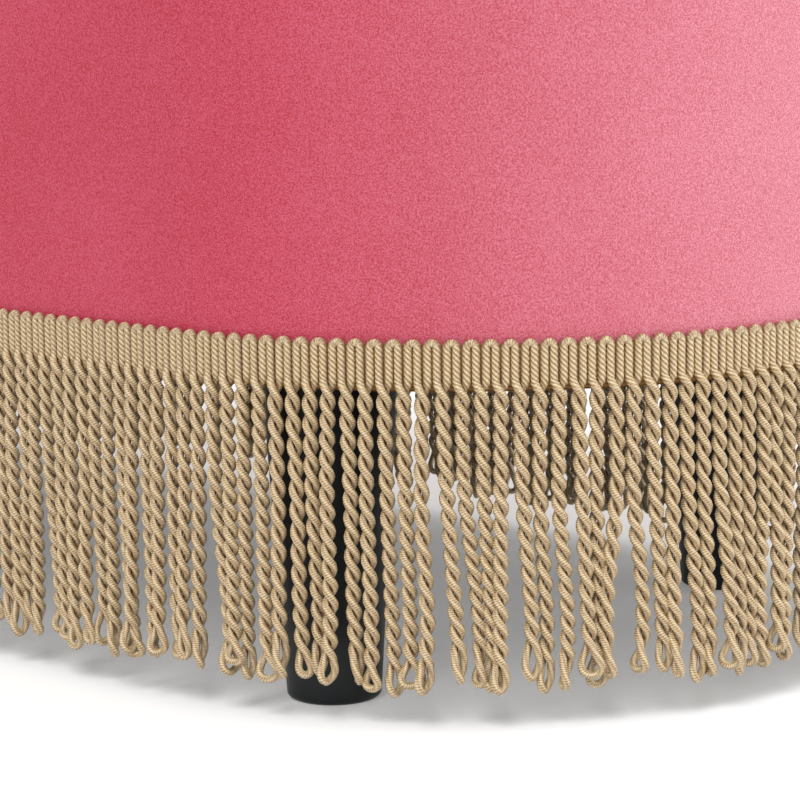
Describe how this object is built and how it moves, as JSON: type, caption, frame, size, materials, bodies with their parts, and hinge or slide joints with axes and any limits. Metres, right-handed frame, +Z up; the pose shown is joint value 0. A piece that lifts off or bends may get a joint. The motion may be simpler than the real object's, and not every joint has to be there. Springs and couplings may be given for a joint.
{
  "type": "storage ottoman bench",
  "caption": "Upholstered storage bench with rounded ends, a hinged padded lid over an open well, tapered legs and a twisted-cord fringe hanging from a header band.",
  "frame": {"origin": "on the floor, under the middle of the bench", "axes": "+X along the bench, +Y towards the hinged back side, +Z up"},
  "size_m": [1.0124, 0.4124, 0.45],
  "materials": {
    "pink_velvet": "short pile, soft sheen",
    "gold_fringe": "silky twisted cord",
    "leg_black": "satin black",
    "plywood": "plain sawn",
    "softwood": "plain sawn",
    "hardboard": "smooth brown board",
    "foam": "open cell foam",
    "lining_cloth": "black non-woven",
    "dust_cloth": "black non-woven",
    "bumper_rubber": "matt",
    "hinge_steel": "black coated steel",
    "frame_screw_steel": "zinc plated",
    "leg_fitting_steel": "zinc plated"
  },
  "bodies": {
    "box": {"bottom_board": "plywood", "dust_cover": "dust_cloth", "floor_panel": "lining_cloth", "frame_screws_lower": "frame_screw_steel", "frame_screws_upper": "frame_screw_steel", "fringe_cords_back": "gold_fringe", "fringe_cords_front": "gold_fringe", "fringe_cords_left_end": "gold_fringe", "fringe_cords_right_end": "gold_fringe", "fringe_header": "gold_fringe", "hinge_leaf_box_left": "hinge_steel", "hinge_leaf_box_middle": "hinge_steel", "hinge_leaf_box_right": "hinge_steel", "hinge_pin_left": "hinge_steel", "hinge_pin_middle": "hinge_steel", "hinge_pin_right": "hinge_steel", "hinge_screws_box": "hinge_steel", "leg_back_left": "leg_black", "leg_back_right": "leg_black", "leg_front_left": "leg_black", "leg_front_right": "leg_black", "leg_studs": "leg_fitting_steel", "leg_tee_nuts": "leg_fitting_steel", "lid_bumpers": "bumper_rubber", "lining_back": "lining_cloth", "lining_front": "lining_cloth", "lining_left_end": "lining_cloth", "lining_right_end": "lining_cloth", "post_back_1": "softwood", "post_back_2": "softwood", "post_back_3": "softwood", "post_front_1": "softwood", "post_front_2": "softwood", "post_front_3": "softwood", "post_left_end": "softwood", "post_right_end": "softwood", "side_cover": "pink_velvet", "side_wrap": "foam", "skin_back": "hardboard", "skin_front": "hardboard", "skin_left_end": "hardboard", "skin_right_end": "hardboard", "top_rail_back": "plywood", "top_rail_front": "plywood", "top_rail_left_end": "plywood", "top_rail_right_end": "plywood"},
    "lid": {"lid_board": "plywood", "lid_cover": "pink_velvet", "lid_foam": "foam", "lid_lining": "lining_cloth", "hinge_leaf_lid_left": "hinge_steel", "hinge_leaf_lid_middle": "hinge_steel", "hinge_leaf_lid_right": "hinge_steel", "hinge_screws_lid": "hinge_steel"}
  },
  "joints": [
    {"name": "lid_hinge", "type": "hinge", "parent": "box", "child": "lid", "pos_m": [0, 0.2, 0.3605], "axis": [-1, 0, 0], "range_deg": [0, 100]}
  ]
}
